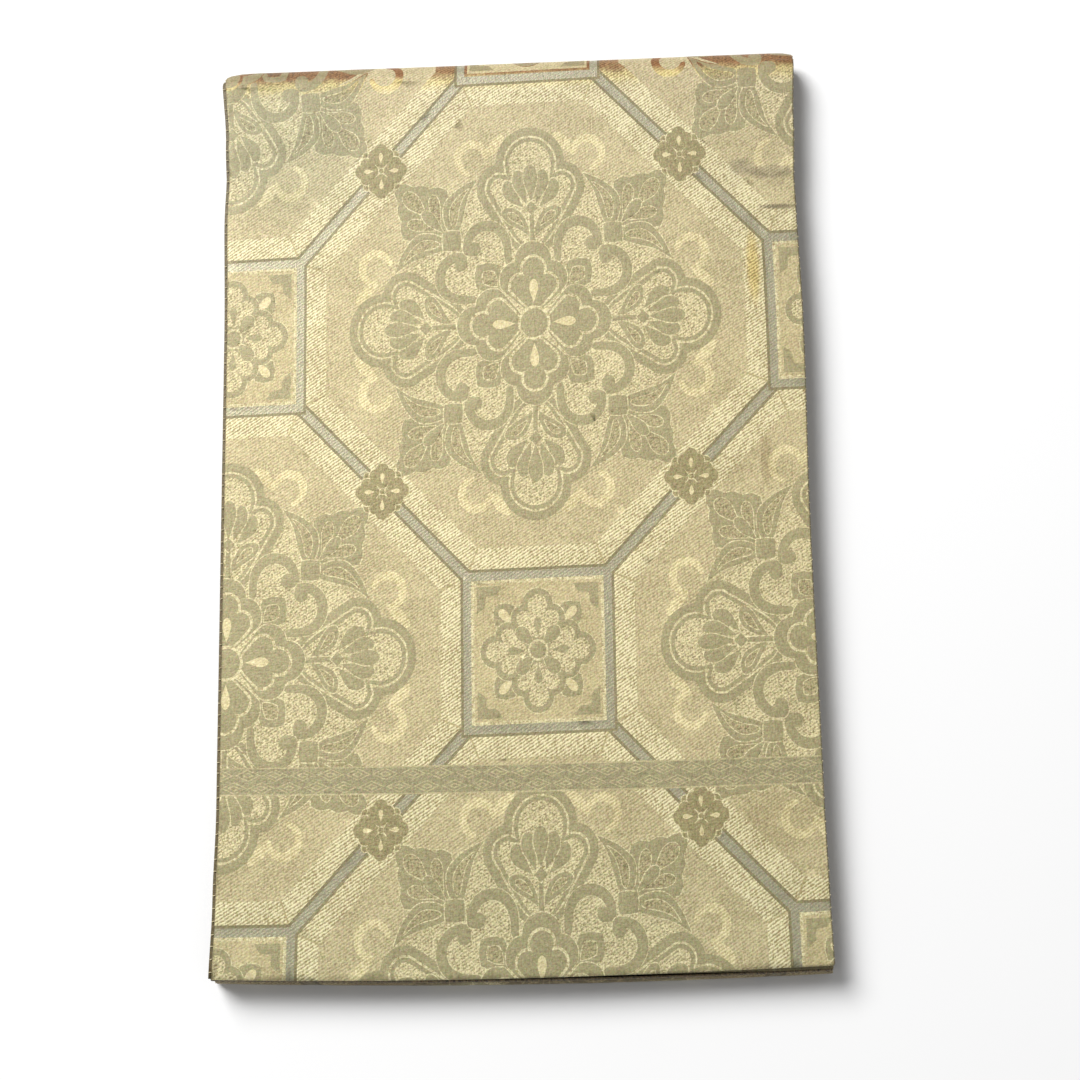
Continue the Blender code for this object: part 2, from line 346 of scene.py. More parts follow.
def weave_material(
    name, dark, light, hatch=0.3, grain=0.5, fleck=0.0, patchy=0.6, shine=0.15, rough=0.5, wear=0.0
):
    """Silk threads of one kind, from their shade colour to their light colour.

    hatch is the strength of the slanting twill line, grain that of the fine weave, fleck that of
    short bright floats, and patchy how far the threads differ from one place to the next. shine is
    how metallic they are, and the last how strongly a painted brown reflection and a painted yellow
    glint tint them over the far fold.
    """
    made = bpy.data.materials.new(name)
    made.use_nodes = True
    tree = made.node_tree
    shader = tree.nodes["Principled BSDF"]
    shader.inputs["Roughness"].default_value = rough
    shader.inputs["Metallic"].default_value = shine
    shader.inputs["Specular IOR Level"].default_value = 0.45
    shader.inputs["Sheen Weight"].default_value = 0.12
    shader.inputs["Sheen Roughness"].default_value = 0.4

    def node(kind, **settings):
        added = tree.nodes.new(kind)
        for key, value in settings.items():
            setattr(added, key, value)
        return added

    def math_node(operation, first, second, clamp=False):
        added = node("ShaderNodeMath", operation=operation, use_clamp=clamp)
        for socket, value in zip(added.inputs, (first, second)):
            if isinstance(value, float):
                socket.default_value = value
            else:
                tree.links.new(value, socket)
        return added.outputs[0]

    def noise_node(vector, scale, detail=2.0, roughness=0.5):
        added = node("ShaderNodeTexNoise")
        added.inputs["Scale"].default_value = scale
        added.inputs["Detail"].default_value = detail
        added.inputs["Roughness"].default_value = roughness
        tree.links.new(vector, added.inputs["Vector"])
        return added.outputs["Fac"]

    def mapped(vector, turn, size):
        added = node("ShaderNodeMapping")
        added.inputs["Rotation"].default_value = (0.0, 0.0, math.radians(turn))
        added.inputs["Scale"].default_value = (*size, 1.0)
        tree.links.new(vector, added.inputs["Vector"])
        return added.outputs["Vector"]

    def centred(value, strength):
        return math_node("MULTIPLY", math_node("SUBTRACT", value, 0.5), strength)

    def blend(kind, factor, first, second):
        added = node("ShaderNodeMix", data_type="RGBA", blend_type=kind)
        sockets = (added.inputs[0], added.inputs[6], added.inputs[7])
        for socket, value in zip(sockets, (factor, first, second)):
            if isinstance(value, (float, tuple)):
                socket.default_value = value
            else:
                tree.links.new(value, socket)
        return added.outputs[2]

    cloth = node("ShaderNodeUVMap", uv_map="cloth").outputs["UV"]
    # slanting twill line, broken up along its length
    bands = node("ShaderNodeTexWave", wave_type="BANDS", bands_direction="X", wave_profile="SIN")
    bands.inputs["Scale"].default_value = TWILL_SCALE
    bands.inputs["Distortion"].default_value = 2.4
    bands.inputs["Detail"].default_value = 3.0
    bands.inputs["Detail Scale"].default_value = 1.6
    tree.links.new(mapped(cloth, TWILL_TURN, (1.0, 1.0)), bands.inputs["Vector"])
    streaks = noise_node(mapped(cloth, TWILL_TURN, (1.0, 0.28)), STREAK_SCALE, 3.0, 0.75)
    # fine weave: rows of threads across, and single threads along, that catch the light unevenly
    across = noise_node(mapped(cloth, 0.0, (0.40, 1.0)), ROW_SCALE, 3.0, 0.8)
    along = noise_node(mapped(cloth, 0.0, (1.0, 0.50)), THREAD_SCALE, 3.0, 0.8)
    # short worm-like floats
    bright = node("ShaderNodeMapRange", interpolation_type="SMOOTHSTEP")
    bright.inputs["From Min"].default_value = 0.40
    bright.inputs["From Max"].default_value = 0.58
    tree.links.new(noise_node(cloth, FLOAT_SCALE, 2.0, 0.6), bright.inputs["Value"])

    level = centred(bands.outputs["Fac"], hatch)
    level = math_node("ADD", level, centred(streaks, 2.0 * hatch + 1.2 * grain))
    level = math_node("ADD", level, centred(across, 2.6 * grain))
    level = math_node("ADD", level, centred(along, 2.4 * grain))
    level = math_node("ADD", level, centred(bright.outputs["Result"], fleck))
    level = math_node("ADD", level, centred(noise_node(cloth, PATCH_SCALE, 4.0, 0.65), 0.9 * patchy))
    level = math_node("ADD", level, 0.5, True)
    colour = blend("MIX", level, (*dark, 1.0), (*light, 1.0))

    # metal-wrapped threads glint in slightly different tints
    glint = node("ShaderNodeTexNoise")
    glint.inputs["Scale"].default_value = GLINT_SCALE
    tree.links.new(cloth, glint.inputs["Vector"])
    colour = blend("SOFT_LIGHT", 0.45, colour, glint.outputs["Color"])

    # painted sheen and shade along the cloth, with a slow random drift in where it falls; over the
    # near fold it is a painted shade
    place = node("ShaderNodeSeparateXYZ")
    tree.links.new(cloth, place.inputs[0])
    sheen_and_shade = node("ShaderNodeValToRGB")
    drift = centred(noise_node(cloth, DRIFT_SCALE, 3.0, 0.5), DRIFT_REACH)
    tree.links.new(math_node("ADD", place.outputs["Y"], drift), sheen_and_shade.inputs[0])
    ramp = sheen_and_shade.color_ramp
    for position, tint in PAINTED_SHEEN_AND_SHADE_ALONG:
        stop = ramp.elements.new(position)
        stop.color = (*tint, 1.0)
    ramp.elements.remove(ramp.elements[0])
    ramp.elements.remove(ramp.elements[-1])
    colour = blend("MULTIPLY", 1.0, colour, sheen_and_shade.outputs["Color"])
    # and in soft spots a painted shade darkens the dents and dull patches, and a painted sheen yellows
    # a narrow strip on the right
    for across, along_run, half_across, half_along, tint in PAINTED_SHADE_AND_SHEEN_SPOTS:
        off_across = math_node("DIVIDE", math_node("SUBTRACT", place.outputs["X"], across), half_across)
        off_along = math_node("DIVIDE", math_node("SUBTRACT", place.outputs["Y"], along_run), half_along)
        off_across = math_node("MULTIPLY", off_across, off_across)
        off_along = math_node("MULTIPLY", off_along, off_along)
        painted_spot = node("ShaderNodeMapRange", interpolation_type="SMOOTHSTEP")
        painted_spot.inputs["From Min"].default_value = 1.0
        painted_spot.inputs["From Max"].default_value = 0.0
        tree.links.new(math_node("ADD", off_across, off_along), painted_spot.inputs["Value"])
        colour = blend("MULTIPLY", painted_spot.outputs["Result"], colour, (*tint, 1.0))
    # painted shade darkens the left edge, where the cloth turns down into the seam
    left_edge_shade = node("ShaderNodeMapRange", interpolation_type="SMOOTHSTEP")
    left_edge_shade.inputs["From Min"].default_value = LEFT_SHADE_TO
    left_edge_shade.inputs["From Max"].default_value = LEFT_SHADE_FROM
    tree.links.new(place.outputs["X"], left_edge_shade.inputs["Value"])
    colour = blend("MULTIPLY", left_edge_shade.outputs["Result"], colour, (*PAINTED_LEFT_EDGE_SHADE, 1.0))
    if wear:
        # over the crest of the far fold a painted dark reflection turns the gold threads brown, and just
        # before it a painted glint turns them yellow
        distance = math_node("ABSOLUTE", math_node("SUBTRACT", place.outputs["Y"], FOLD_CREST_RUN), 0.0)
        ragged_edge = centred(noise_node(cloth, RAGGED_EDGE_SCALE, 3.0, 0.6), RAGGED_EDGE_REACH)
        distance = math_node("ADD", distance, ragged_edge)
        for reach, tint, share in ((PAINTED_GLINT_REACH, PAINTED_GLINT_TINT, PAINTED_GLINT_SHARE), (PAINTED_REFLECTION_REACH, PAINTED_REFLECTION_TINT, 1.0)):
            painted_band = node("ShaderNodeMapRange", interpolation_type="SMOOTHSTEP")
            painted_band.inputs["From Min"].default_value = reach
            painted_band.inputs["From Max"].default_value = reach * 0.62
            tree.links.new(distance, painted_band.inputs["Value"])
            strength = math_node("MULTIPLY", painted_band.outputs["Result"], share * wear)
            colour = blend("MULTIPLY", strength, colour, (*tint, 1.0))
    tree.links.new(colour, shader.inputs["Base Color"])
    bump = node("ShaderNodeBump")
    bump.inputs["Strength"].default_value = 0.4
    bump.inputs["Distance"].default_value = WEAVE_BUMP
    tree.links.new(level, bump.inputs["Height"])
    tree.links.new(bump.outputs["Normal"], shader.inputs["Normal"])
    return made


ribbon_points = ribbon_line()
half_section = side_profile(RIBBON_WIDTH / 2, RIBBON_WALL, RIBBON_GROOVE)
inner_shares = (0.97, 0.85, 0.6, 0.3, 0.0, -0.3, -0.6, -0.85, -0.97)
upper = [(share * (RIBBON_WIDTH / 2 - SIDE_INSET), RIBBON_WALL) for share in inner_shares]
section = half_section + [(x, -depth) for x, depth in upper]
section += [(-x, depth) for x, depth in reversed(half_section)]
section += [(-x, depth) for x, depth in upper]
rings, ribbon_flat = [], []
travelled = 0.0
for number, (y, z) in enumerate(ribbon_points):
    before = ribbon_points[max(0, number - 1)]
    after = ribbon_points[min(len(ribbon_points) - 1, number + 1)]
    travelled += math.dist(before, (y, z))
    dy, dz = after[0] - before[0], after[1] - before[1]
    size = math.hypot(dy, dz)
    strayed = side_shift(travelled)
    ring = []
    for across, depth in section:
        wobble = SEAM_WOBBLE * noise.noise(Vector((travelled * 60.0, across * 9.0, 1.5)))
        spread = math.copysign(wobble, across) if abs(across) > SEAM_ZONE else 0.0
        height = z + dy / size * depth
        if height > RIBBON_TOP:
            # a deep crease of the top layer presses into the ribbon's upper face
            height += min(0.0, crease_height(across, y) + TOP_LAYER_GAP)
        ring.append(lay(across + strayed + spread, y - dz / size * depth, height))
        ribbon_flat.append((across, travelled))
    rings.append(ring)
face_side = [0] * len(section)
for i in range(len(section)):
    if section[i][1] + section[(i + 1) % len(section)][1] < 0:
        face_side[i] = 1
hidden_ribbon = tube_mesh("hidden_ribbon", rings, face_side)
cloth_uv(hidden_ribbon, ribbon_flat)
back_silk = weave_material("back_silk", linear(128, 116, 82), linear(190, 178, 140), hatch=0.05, grain=0.6)
inner_brocade = weave_material(
    "inner_brocade", linear(74, 62, 42), linear(190, 172, 126), hatch=0.2, grain=0.8, fleck=0.5
)
hidden_ribbon.data.materials.append(back_silk)
hidden_ribbon.data.materials.append(inner_brocade)
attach(hidden_ribbon, "root")
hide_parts("hidden_layers")

# ------------------------------------------------------------------------------------------
# Back cloth of the outer wrap: plain silk under the brocade, from the sash's finished end over
# the far fold, along the underside and round the near fold. It is cut a little wider than the
# brocade, so that it shows as a narrow strip along the left seam.
# ------------------------------------------------------------------------------------------
CLOTH_WALL = 0.0010
SEAM_GAP = 0.0003
BACK_OUTER = CLOTH_WALL + SEAM_GAP
EDGE_RADIUS = CLOTH_WALL / 2
WRAP_TOP_RUN = FAR_FOLD_Y - TOP_END_Y
ELLIPSE_STEPS = 96

fold_lengths = [0.0]
for step in range(ELLIPSE_STEPS):
    start, end = math.pi * step / ELLIPSE_STEPS, math.pi * (step + 1) / ELLIPSE_STEPS
    span_y = FAR_FOLD_DEPTH * (math.sin(end) - math.sin(start))
    span_z = HALF_HEIGHT * (math.cos(end) - math.cos(start))
    fold_lengths.append(fold_lengths[-1] + math.hypot(span_y, span_z))
FAR_FOLD_RUN = fold_lengths[-1]
UNDERSIDE_RUN = FAR_FOLD_Y - (NEAR_FOLD_Y + NEAR_RADIUS)
NEAR_ARC_RUN = math.pi * NEAR_RADIUS
WRAP_RUN = WRAP_TOP_RUN + FAR_FOLD_RUN + UNDERSIDE_RUN + NEAR_ARC_RUN + NEAR_FOLD_LEG


def wrap_line(run):
    """The outer wrap's surface, run metres from the finished end: y, z and the outward normal."""
    if run <= WRAP_TOP_RUN:
        return TOP_END_Y + run, STACK_HEIGHT, 0.0, 1.0
    run -= WRAP_TOP_RUN
    if run <= FAR_FOLD_RUN:
        step = min(ELLIPSE_STEPS - 1, max(0, bisect.bisect_right(fold_lengths, run) - 1))
        part = (run - fold_lengths[step]) / (fold_lengths[step + 1] - fold_lengths[step])
        angle = math.pi * (step + part) / ELLIPSE_STEPS
        normal_y, normal_z = math.sin(angle) / FAR_FOLD_DEPTH, math.cos(angle) / HALF_HEIGHT
        size = math.hypot(normal_y, normal_z)
        y = FAR_FOLD_Y + FAR_FOLD_DEPTH * math.sin(angle)
        return y, HALF_HEIGHT * (1.0 + math.cos(angle)), normal_y / size, normal_z / size
    run -= FAR_FOLD_RUN
    if run <= UNDERSIDE_RUN:
        return FAR_FOLD_Y - run, 0.0, 0.0, -1.0
    run -= UNDERSIDE_RUN
    centre = NEAR_FOLD_Y + NEAR_RADIUS
    if run <= NEAR_ARC_RUN:
        angle = -math.pi / 2 - run / NEAR_RADIUS
        normal_y, normal_z = math.cos(angle), math.sin(angle)
        return centre + NEAR_RADIUS * normal_y, NEAR_RADIUS * (1.0 + normal_z), normal_y, normal_z
    return centre + run - NEAR_ARC_RUN, NEAR_FOLD_HEIGHT, 0.0, 1.0


BROAD_UNEVENNESS = 0.00022
SMALL_UNEVENNESS = 0.00006


def unevenness(x, run):
    """The soft unevenness of a cloth that has been folded, worn and folded again."""
    broad = noise.noise(Vector((x * 16.0, run * 11.0, 0.3)))
    small = noise.noise(Vector((x * 60.0, run * 45.0, 4.1)))
    return BROAD_UNEVENNESS * broad + SMALL_UNEVENNESS * small


END_SLANT = 0.0020
END_SLANT_REACH = 0.120


def wrap_point(across, run, depth):
    """A point of the outer wrap: across the sash, along it from its end, and under its surface."""
    y, z, normal_y, normal_z = wrap_line(run)
    if normal_z > 0.99 and run < WRAP_TOP_RUN:
        z += crease_height(across, y) + unevenness(across, run)
    if run < 0.0:
        y = TOP_END_Y + run
    if run < WRAP_TOP_RUN:
        leftness = smooth(0.5 - across / CLOTH_WIDTH)
        y -= END_SLANT * leftness * max(0.0, 1.0 - run / END_SLANT_REACH) ** 2
    return lay(across, y - normal_y * depth, z - normal_z * depth)


BACK_HALF = CLOTH_WIDTH / 2
BACK_FLAT_HALF = 0.152
BACK_END_INSET = 0.0005
BACK_RUN_STEP = 0.006
BACK_EDGE_STEPS = 6
FAR_FOLD_STEPS = 24
UNDERSIDE_STEPS = 60
NEAR_FOLD_STEPS = 16
NEAR_LEG_STEPS = 4
back_profile = []
for step in range(BACK_EDGE_STEPS + 1):
    angle = math.pi * (0.5 - step / BACK_EDGE_STEPS)
    back_profile.append(
        (BACK_HALF - EDGE_RADIUS + EDGE_RADIUS * math.cos(angle), EDGE_RADIUS * (1.0 - math.sin(angle)))
    )
back_upper = [(share * BACK_FLAT_HALF, CLOTH_WALL) for share in inner_shares]
back_section = back_profile + back_upper + [(-x, depth) for x, depth in reversed(back_profile)]
back_section += [(-x, 0.0) for x, depth in back_upper]
top_steps = int(WRAP_TOP_RUN / BACK_RUN_STEP)
back_runs = [BACK_END_INSET + BACK_RUN_STEP * step for step in range(top_steps)]
back_runs.append(WRAP_TOP_RUN)
for length, steps in (
    (FAR_FOLD_RUN, FAR_FOLD_STEPS),
    (UNDERSIDE_RUN, UNDERSIDE_STEPS),
    (NEAR_ARC_RUN, NEAR_FOLD_STEPS),
    (NEAR_FOLD_LEG, NEAR_LEG_STEPS),
):
    start_run = back_runs[-1]
    back_runs += [start_run + length * step / steps for step in range(1, steps + 1)]
rings = [[wrap_point(x, run, BACK_OUTER + depth) for x, depth in back_section] for run in back_runs]
back_wrap = tube_mesh("back_cloth_wrap", rings)
cloth_uv(back_wrap, [(x, run) for run in back_runs for x, depth in back_section])
back_wrap.data.materials.append(back_silk)
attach(back_wrap, "root")
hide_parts("back_top", "back_far_fold", "back_underside", "back_near_fold")

# ------------------------------------------------------------------------------------------
# Face cloth: the figured brocade, woven in one length with its pattern of octagons, squares and
# flower medallions. Its drawing is worked out here, in centimetres, as outlines of one thread
# each: a later outline lies over an earlier one. The same threads serve the underside and top.
# ------------------------------------------------------------------------------------------
POINT_STEP = 0.14
RIM = 0.058
PITCH_X = 16.26
PITCH_Y = 17.72
SQUARE_HALF = 3.667
MEDALLION_SIZE = 0.97


def curve(points):
    """A smooth closed line through a few points; a point with a third value is a sharp corner."""
    first = next((i for i, point in enumerate(points) if len(point) > 2), 0)
    sharp = len(points[first]) > 2
    points = list(points[first:]) + list(points[:first])
    count = len(points)
    line = []
    for i in range(count):
        b, c = points[i], points[(i + 1) % count]
        a = b if sharp and len(b) > 2 else points[i - 1]
        d = c if sharp and len(c) > 2 else points[(i + 2) % count]
        pieces = max(1, round(math.dist(b[:2], c[:2]) / POINT_STEP))
        for k in range(pieces):
            t = k / pieces
            line.append(tuple(
                0.5 * (2 * b[n] + (c[n] - a[n]) * t + (2 * a[n] - 5 * b[n] + 4 * c[n] - d[n]) * t * t
                       + (3 * b[n] - a[n] - 3 * c[n] + d[n]) * t**3)
                for n in (0, 1)
            ))
    return line


def arc(centre_x, centre_y, radius, start, end):
    """Points on an arc between two angles in degrees, both ends included."""
    steps = max(2, round(abs(end - start) / 24))
    angles = [math.radians(start + (end - start) * k / steps) for k in range(steps + 1)]
    return [(centre_x + radius * math.cos(a), centre_y + radius * math.sin(a)) for a in angles]


def disc(x, y, radius):
    """A round spot."""
    count = max(10, round(2 * math.pi * radius / POINT_STEP))
    return [
        (x + radius * math.cos(2 * math.pi * k / count), y + radius * math.sin(2 * math.pi * k / count))
        for k in range(count)
    ]


def box(half):
    """A square about the origin."""
    return [(-half, -half), (half, -half), (half, half), (-half, half)]


def grown(outline, depth):
    """An outline moved outwards by depth, for the thin line round a shape."""
    area = sum(a[0] * b[1] - b[0] * a[1] for a, b in zip(outline, outline[1:] + outline[:1]))
    turn = 1.0 if area > 0 else -1.0
    moved = []
    for i, (x, y) in enumerate(outline):
        before, after = outline[i - 1], outline[(i + 1) % len(outline)]
        dx, dy = after[0] - before[0], after[1] - before[1]
        size = math.hypot(dx, dy) or 1.0
        moved.append((x + turn * dy / size * depth, y - turn * dx / size * depth))
    return moved


def rimmed(thread, outline, rim=RIM):
    """A shape in one thread with a thin cream line round it."""
    return [("cream", grown(outline, rim)), (thread, outline)]


def trefoil(foot, waist, side, head, depth=0.0):
    """A three-lobed leaf up the y axis, drawn in by depth.

    foot is where it starts, waist a half width and its height, side the right lobe's centre and
    radius, and head the top lobe's height and radius.
    """
    side_x, side_y, side_r = side[0], side[1], side[2] - depth
    head_y, head_r = head[0], head[1] - depth
    gap = math.hypot(side_x, head_y - side_y)
    reach = (side_r**2 - head_r**2 + gap**2) / (2 * gap)
    rise = math.sqrt(max(0.0, side_r**2 - reach**2))
    lean_x, lean_y = -side_x / gap, (head_y - side_y) / gap
    cusp = (side_x + lean_x * reach + lean_y * rise, side_y + lean_y * reach - lean_x * rise)
    side_end = math.degrees(math.atan2(cusp[1] - side_y, cusp[0] - side_x))
    head_start = math.degrees(math.atan2(cusp[1] - head_y, cusp[0]))
    half = [(max(0.02, waist[0] - depth), waist[1])]
    half += arc(side_x, side_y, side_r, -35, side_end)[:-1]
    half.append((*cusp, 1))
    half += arc(0.0, head_y, head_r, head_start, 90)[1:-1]
    left = [(-point[0], *point[1:]) for point in reversed(half)]
    return curve([(0.0, foot + depth, 1)] + half + [(0.0, head_y + head_r)] + left)


def petal(foot, head, width, bend=0.0):
    """A petal, pointed at its foot, round at its head, and bent to its right by bend."""
    dx, dy = head[0] - foot[0], head[1] - foot[1]
    size = math.hypot(dx, dy)
    dx, dy = dx / size, dy / size
    right = [(0.30, 0.55), (0.62, 1.0), (0.88, 0.78)]
    left = [(along, -across) for along, across in reversed(right)]
    points = []
    for along, across in [(0.0, 0.0)] + right + [(1.0, 0.0)] + left:
        side = across * width + bend * math.sin(math.pi * along)
        x = foot[0] + dx * along * size + dy * side
        y = foot[1] + dy * along * size - dx * side
        points.append((x, y, 1) if along == 0.0 else (x, y))
    return curve(points)


def stem(path, widths):
    """A line of thread with round ends, along a path, as wide as widths say from start to end."""
    right, left = [], []
    count = len(path)
    for i, (x, y) in enumerate(path):
        before, after = path[max(0, i - 1)], path[min(count - 1, i + 1)]
        dx, dy = after[0] - before[0], after[1] - before[1]
        size = math.hypot(dx, dy)
        place = i / (count - 1) * (len(widths) - 1)
        low = min(int(place), len(widths) - 2)
        half = (widths[low] + (widths[low + 1] - widths[low]) * (place - low)) / 2
        right.append((x + dy / size * half, y - dx / size * half))
        left.append((x - dy / size * half, y + dx / size * half))
        if i in (0, count - 1):
            tip = -half if i == 0 else half
            cap = (x + dx / size * tip, y + dy / size * tip)
            start_cap = cap if i == 0 else start_cap
    return curve([start_cap] + right + [cap] + list(reversed(left)))


def scalloped(corners, counts, bulge):
    """An outline whose sides, from corner to corner, are rows of shallow scallops."""
    points = []
    for k, (x, y) in enumerate(corners):
        dx, dy = corners[(k + 1) % len(corners)][0] - x, corners[(k + 1) % len(corners)][1] - y
        size = math.hypot(dx, dy)
        for n in range(counts[k]):
            start, middle = n / counts[k], (n + 0.5) / counts[k]
            points.append((x + dx * start, y + dy * start, 1))
            points.append((x + dx * middle + dy / size * bulge, y + dy * middle - dx / size * bulge))
    return curve(points)


def all_round(shapes):
    """The same shapes at all four quarter turns, layer by layer."""
    made = []
    for thread, outline in shapes:
        for turn in range(4):
            made.append((thread, outline))
            outline = [(-y, x) for x, y in outline]
    return made


def both_sides(shapes):
    """The same shapes and their mirror image, left for right."""
    return shapes + [(thread, [(-x, y) for x, y in reversed(outline)]) for thread, outline in shapes]


def both_diagonal(shapes):
    """The same shapes and their mirror image across the diagonal."""
    return shapes + [(thread, [(y, x) for x, y in reversed(outline)]) for thread, outline in shapes]


def palmette():
    """The big three-lobed leaf that points away from the flower, with a fan of petals inside."""
    leaf = dict(foot=3.2, waist=(1.50, 4.45), side=(1.72, 7.1, 1.30), head=(8.30, 1.95))
    shapes = [("olive", trefoil(**leaf)), ("cream", trefoil(**leaf, depth=0.44))]
    shapes += [("olive", trefoil(**leaf, depth=0.55)), ("fleck", trefoil(**leaf, depth=0.76))]
    shapes += both_sides(rimmed("olive", petal((0.05, 4.45), (1.62, 5.95), 0.42, -0.18)))
    shapes += both_sides(rimmed("hatch", petal((0.45, 5.05), (1.32, 5.78), 0.18, -0.05), 0.044))
    shapes += rimmed("olive", stem([(0.0, 3.9), (0.0, 4.8), (0.0, 5.7)], (0.28, 0.22)))
    for foot, head, width, bend in (
        ((0.44, 6.05), (1.42, 7.45), 0.37, 0.16),
        ((0.26, 6.20), (0.74, 8.00), 0.38, 0.052),
    ):
        shapes += both_sides(rimmed("olive", petal(foot, head, width, bend)))
    shapes += rimmed("olive", petal((0.0, 6.3), (0.0, 8.3), 0.38))
    return shapes + rimmed("olive", curve([(0.0, 5.64, 1), (0.36, 6.0, 1), (0.0, 6.36, 1), (-0.36, 6.0, 1)]))


def scrolls():
    """The two curled stems on either side of a palmette."""
    path = [(1.38, 3.3), (1.40, 4.0)] + arc(2.55, 4.10, 1.10, 160, -10) + [(3.35, 3.85)]
    curl = rimmed("olive", stem(path, (0.36, 0.50, 0.54, 0.54, 0.48, 0.40)), 0.048)
    return both_sides(curl + [("olive", disc(3.26, 4.02, 0.36))])


def corner_spray():
    """Between two palmettes: a scalloped leaf and two horn leaves that rise from a small block."""
    leaf = scalloped(((4.9, 4.9), (7.15, 4.70), (7.55, 7.55), (4.70, 7.15)), (2, 3, 3, 2), 0.13)
    shapes = rimmed("olive", leaf)
    shapes += both_diagonal(rimmed("hatch", petal((5.35, 5.1), (6.95, 5.52), 0.29, -0.05), 0.048))
    shapes += rimmed("hatch", petal((5.85, 5.85), (7.10, 7.10), 0.40), 0.048)
    shapes += rimmed("olive", petal((4.95, 4.95), (6.1, 6.1), 0.30), 0.048)
    horn = petal((7.70, 2.95), (4.85, 4.50), 0.60, 0.50)
    vein = petal((7.20, 3.45), (5.20, 4.38), 0.24, 0.34)
    shapes += both_diagonal(rimmed("olive", horn) + rimmed("hatch", vein, 0.048))
    block = scalloped(((4.02, 4.02), (4.98, 4.02), (4.98, 4.98), (4.02, 4.98)), (1, 1, 1, 1), 0.044)
    return shapes + rimmed("olive", block)


def flower():
    """The open flower at the middle: four three-lobed petals, small leaves between them, and an eye."""
    leaf = scalloped(((1.6, 1.6), (3.15, 1.95), (3.15, 3.15), (1.95, 3.15)), (1, 1, 1, 1), 0.10)
    inner = scalloped(((2.0, 2.0), (2.78, 2.2), (2.78, 2.78), (2.2, 2.78)), (1, 1, 1, 1), 0.05)
    shapes = all_round(rimmed("olive", leaf) + rimmed("hatch", inner, 0.052))
    outer = dict(foot=0.4, waist=(0.75, 0.95), side=(0.95, 2.32, 0.92), head=(3.24, 1.02))
    heart = dict(foot=0.5, waist=(0.50, 0.85), side=(0.72, 1.98, 0.70), head=(2.82, 0.76))
    for thread, shape in (
        ("cream", grown(trefoil(**outer), RIM)),
        ("olive", trefoil(**outer)),
        ("cream", trefoil(**heart)),
        ("olive", trefoil(**heart, depth=0.15)),
        ("cream_bright", petal((0.0, 1.05), (0.0, 2.3), 0.24)),
    ):
        shapes += all_round([(thread, shape)])
    return shapes + [("cream", disc(0, 0, 0.90)), ("olive", disc(0, 0, 0.75))]


def cloud_hooks():
    """Faint hooked curls outside a palmette, in a thread close to the ground's own."""
    blob = stem([(1.55, 9.75), (1.95, 9.4), (2.3, 8.95)], (0.40, 0.58, 0.38))
    ring = stem(arc(3.25, 8.72, 0.80, 175, -75), (0.28, 0.44, 0.46, 0.42, 0.26))
    return all_round(both_sides([("soft", blob), ("soft", ring)]))


def medallion():
    """The whole medallion, on a patch of flecked cloth."""
    eighth = [(8.6, 0.0), (7.3, 2.8), (6.0, 3.7), (5.2, 4.6), (6.0, 6.0, 1)]
    quarter = eighth + [(y, x) for x, y in reversed([point[:2] for point in eighth[1:-1]])]
    patch = []
    for turn in range(4):
        patch += quarter
        quarter = [(-point[1], point[0], *point[2:]) for point in quarter]
    patch = curve(patch)
    shapes = cloud_hooks() + [("fleck", patch)]
    shapes += all_round(corner_spray()) + all_round(palmette()) + all_round(scrolls()) + flower()
    size = MEDALLION_SIZE
    return [(thread, [(x * size, y * size) for x, y in shape]) for thread, shape in shapes]


def square_flower():
    """The flower in a square: a cream frame, four corner leaves, a ring of small leaves and petals."""
    frame_half = SQUARE_HALF - 0.21
    h = frame_half - 0.30
    shapes = [("cream", box(frame_half)), ("satin", box(frame_half - 0.16))]
    inner_side = [(h - 1.0, h - 0.42), (h - 0.5, h - 0.5), (h - 0.42, h - 1.0)]
    corner = curve([(h, h, 1), (h - 1.3, h, 1)] + inner_side + [(h, h - 1.3, 1)])
    leaf = scalloped(((0.9, 0.9), (2.2, 1.25), (2.2, 2.2), (1.25, 2.2)), (1, 1, 1, 1), 0.09)
    shapes += all_round([("olive", corner)] + rimmed("olive", leaf, 0.048))
    shapes += all_round([("cream_bright", petal((1.25, 1.25), (2.0, 2.0), 0.22))])
    bloom = dict(foot=0.3, waist=(0.42, 0.60), side=(0.72, 1.52, 0.68), head=(2.18, 0.80))
    shapes += all_round([("cream", grown(trefoil(**bloom), 0.048))])
    shapes += all_round([("olive", trefoil(**bloom))])
    shapes += all_round([("fleck", trefoil(**bloom, depth=0.29))])
    shapes += all_round(rimmed("olive", petal((0.22, 0.22), (1.08, 1.08), 0.34), 0.044))
    shapes += all_round([("olive", petal((0.0, 0.70), (0.0, 1.62), 0.20))])
    return shapes + [("cream", disc(0, 0, 0.52)), ("olive", disc(0, 0, 0.41))]


def small_flower():
    """The little flower where the lattice lines cross: four three-lobed petals, buds between them."""
    lobe = dict(foot=0.10, waist=(0.36, 0.36), side=(0.36, 0.80, 0.33), head=(1.05, 0.37))
    shapes = all_round(rimmed("dark_olive", disc(0.78, 0.78, 0.20), 0.048))
    shapes += all_round(rimmed("dark_olive", trefoil(**lobe)))
    shapes += all_round([("cream_bright", petal((0.0, 0.40), (0.0, 0.94), 0.12))])
    return shapes + rimmed("dark_olive", disc(0.0, 0.0, 0.13), 0.048)


def bar(start, end, width):
    """A straight line of thread from one point to another."""
    dx, dy = end[0] - start[0], end[1] - start[1]
    size = math.hypot(dx, dy)
    nx, ny = -dy / size * width / 2, dx / size * width / 2
    below = [(start[0] - nx, start[1] - ny), (end[0] - nx, end[1] - ny)]
    return below + [(end[0] + nx, end[1] + ny), (start[0] + nx, start[1] + ny)]


